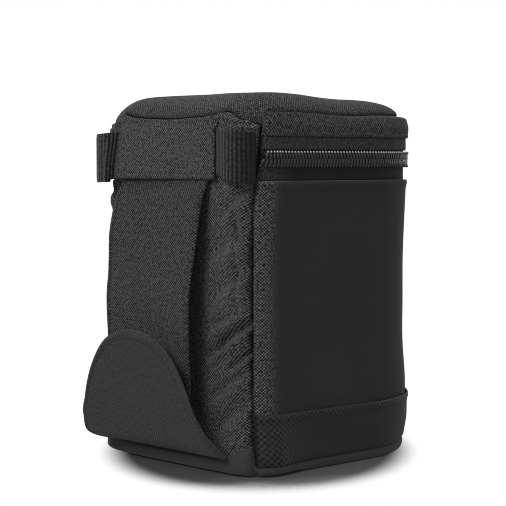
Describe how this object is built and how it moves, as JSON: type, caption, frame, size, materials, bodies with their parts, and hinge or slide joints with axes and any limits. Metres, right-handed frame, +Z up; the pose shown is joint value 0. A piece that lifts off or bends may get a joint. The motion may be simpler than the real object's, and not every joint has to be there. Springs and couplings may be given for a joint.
{
  "type": "lens pouch",
  "caption": "Padded upright pouch with a round front, a zipped padded lid hinged at the back, a belt strap held by a fold-up flap, and a webbing loop at each back corner.",
  "frame": {"origin": "middle of the underside, on the surface that the pouch stands on", "axes": "+Z up, -Y to the round front, +Y to the flat back that hangs on a belt, +X to the side where the parked zip slider sits"},
  "size_m": [0.1232, 0.1679, 0.1783],
  "materials": {
    "body_nylon": "plain weave nylon, matt black",
    "back_nylon": "plain weave nylon, matt charcoal black",
    "ballistic_nylon": "coarse basket weave nylon, black",
    "strap_nylon": "plain weave nylon with a folded hem, charcoal black",
    "base_nylon": "coated nylon, smooth black",
    "webbing": "ribbed nylon webbing, black",
    "zip_tape": "woven zip tape, black",
    "lining_cloth": "brushed tricot, dark grey",
    "closed_cell_foam": "foam padding, charcoal",
    "hook_and_loop": "hook-and-loop pile, black",
    "board_plastic": "stiffening board, black",
    "coil_plastic": "nylon coil, black with a soft sheen",
    "slider_metal": "zinc alloy, satin black"
  },
  "bodies": {
    "body": {"outer_wrap": "body_nylon", "reinforcement_band": "ballistic_nylon", "back_panel": "back_nylon", "base_panel": "base_nylon", "base_board": "board_plastic", "base_foam": "closed_cell_foam", "floor_lining": "lining_cloth", "wall_foam": "closed_cell_foam", "wall_lining": "lining_cloth", "back_foam": "closed_cell_foam", "back_lining": "lining_cloth", "zip_tape_lower": "zip_tape", "zip_chain_lower": "coil_plastic", "loop_webbing": "webbing", "anchor_patch": "strap_nylon"},
    "lid": {"lid_top_panel": "back_nylon", "lid_foam": "closed_cell_foam", "lid_lining": "lining_cloth", "lid_side_band": "body_nylon", "lid_side_foam": "closed_cell_foam", "lid_side_lining": "lining_cloth", "zip_cover_strip": "body_nylon", "zip_tape_upper": "zip_tape", "zip_chain_upper": "coil_plastic"},
    "strap": {"belt_strap": "strap_nylon", "strap_loop_patch": "hook_and_loop"},
    "flap": {"belt_flap": "strap_nylon", "flap_hook_patch": "hook_and_loop"},
    "slider": {"zip_slider": "slider_metal"},
    "pull": {"pull_tab": "slider_metal"}
  },
  "joints": [
    {"name": "lid_hinge", "type": "hinge", "parent": "body", "child": "lid", "pos_m": [0, 0.0705, 0.16715], "axis": [-1, 0, 0], "range_deg": [0, 100], "deforming": ["zip_chain_lower", "zip_chain_upper", "zip_tape_upper"]},
    {"name": "strap_lift", "type": "hinge", "parent": "body", "child": "strap", "pos_m": [0, 0.0716, 0.1372], "axis": [1, 0, 0], "range_deg": [0, 19]},
    {"name": "flap_fold", "type": "hinge", "parent": "body", "child": "flap", "pos_m": [0, 0.0712, 0.0082], "axis": [-1, 0, 0], "range_deg": [0, 47.5]},
    {"name": "slider_slide", "type": "slide", "parent": "body", "child": "slider", "axis": [0, -1, 0], "range_m": [0, 0.045]},
    {"name": "pull_swing", "type": "hinge", "parent": "slider", "child": "pull", "pos_m": [0.0616, 0.045, 0.14725], "axis": [0, 0, 1], "range_deg": [0, 150]}
  ],
  "couplings": [
    {"joint": "flap_fold", "follows": "strap_lift", "ratio": 2.5}
  ]
}
